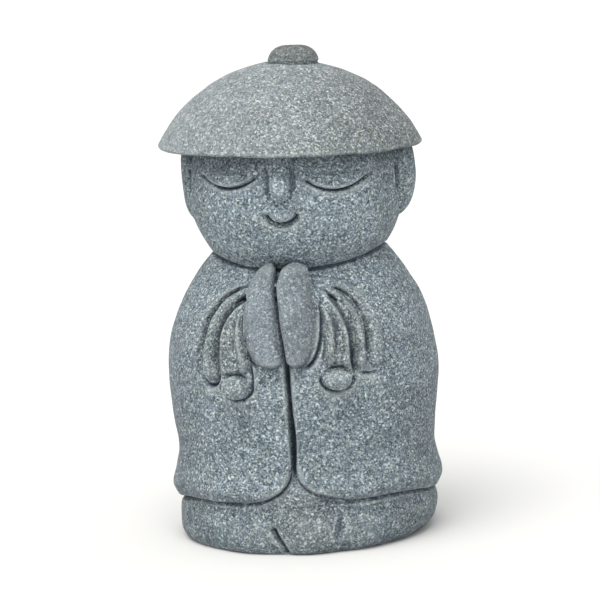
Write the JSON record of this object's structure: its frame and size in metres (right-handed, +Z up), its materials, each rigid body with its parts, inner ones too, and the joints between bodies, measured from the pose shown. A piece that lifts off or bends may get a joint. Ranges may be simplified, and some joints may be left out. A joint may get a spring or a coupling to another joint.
{
  "type": "monk figurine",
  "caption": "Small one-piece cast stone figurine of a praying monk with a round hat and a long cloak, standing on its flat underside.",
  "frame": {"origin": "middle of the flat underside of the under-robe", "axes": "+Z up, -Y the way the face looks, -X the viewer's left"},
  "size_m": [0.0556, 0.055, 0.0999],
  "materials": {
    "cast_stone": "matt, speckled grey-green"
  },
  "bodies": {
    "root": {"monk_figurine": "cast_stone"}
  },
  "joints": []
}
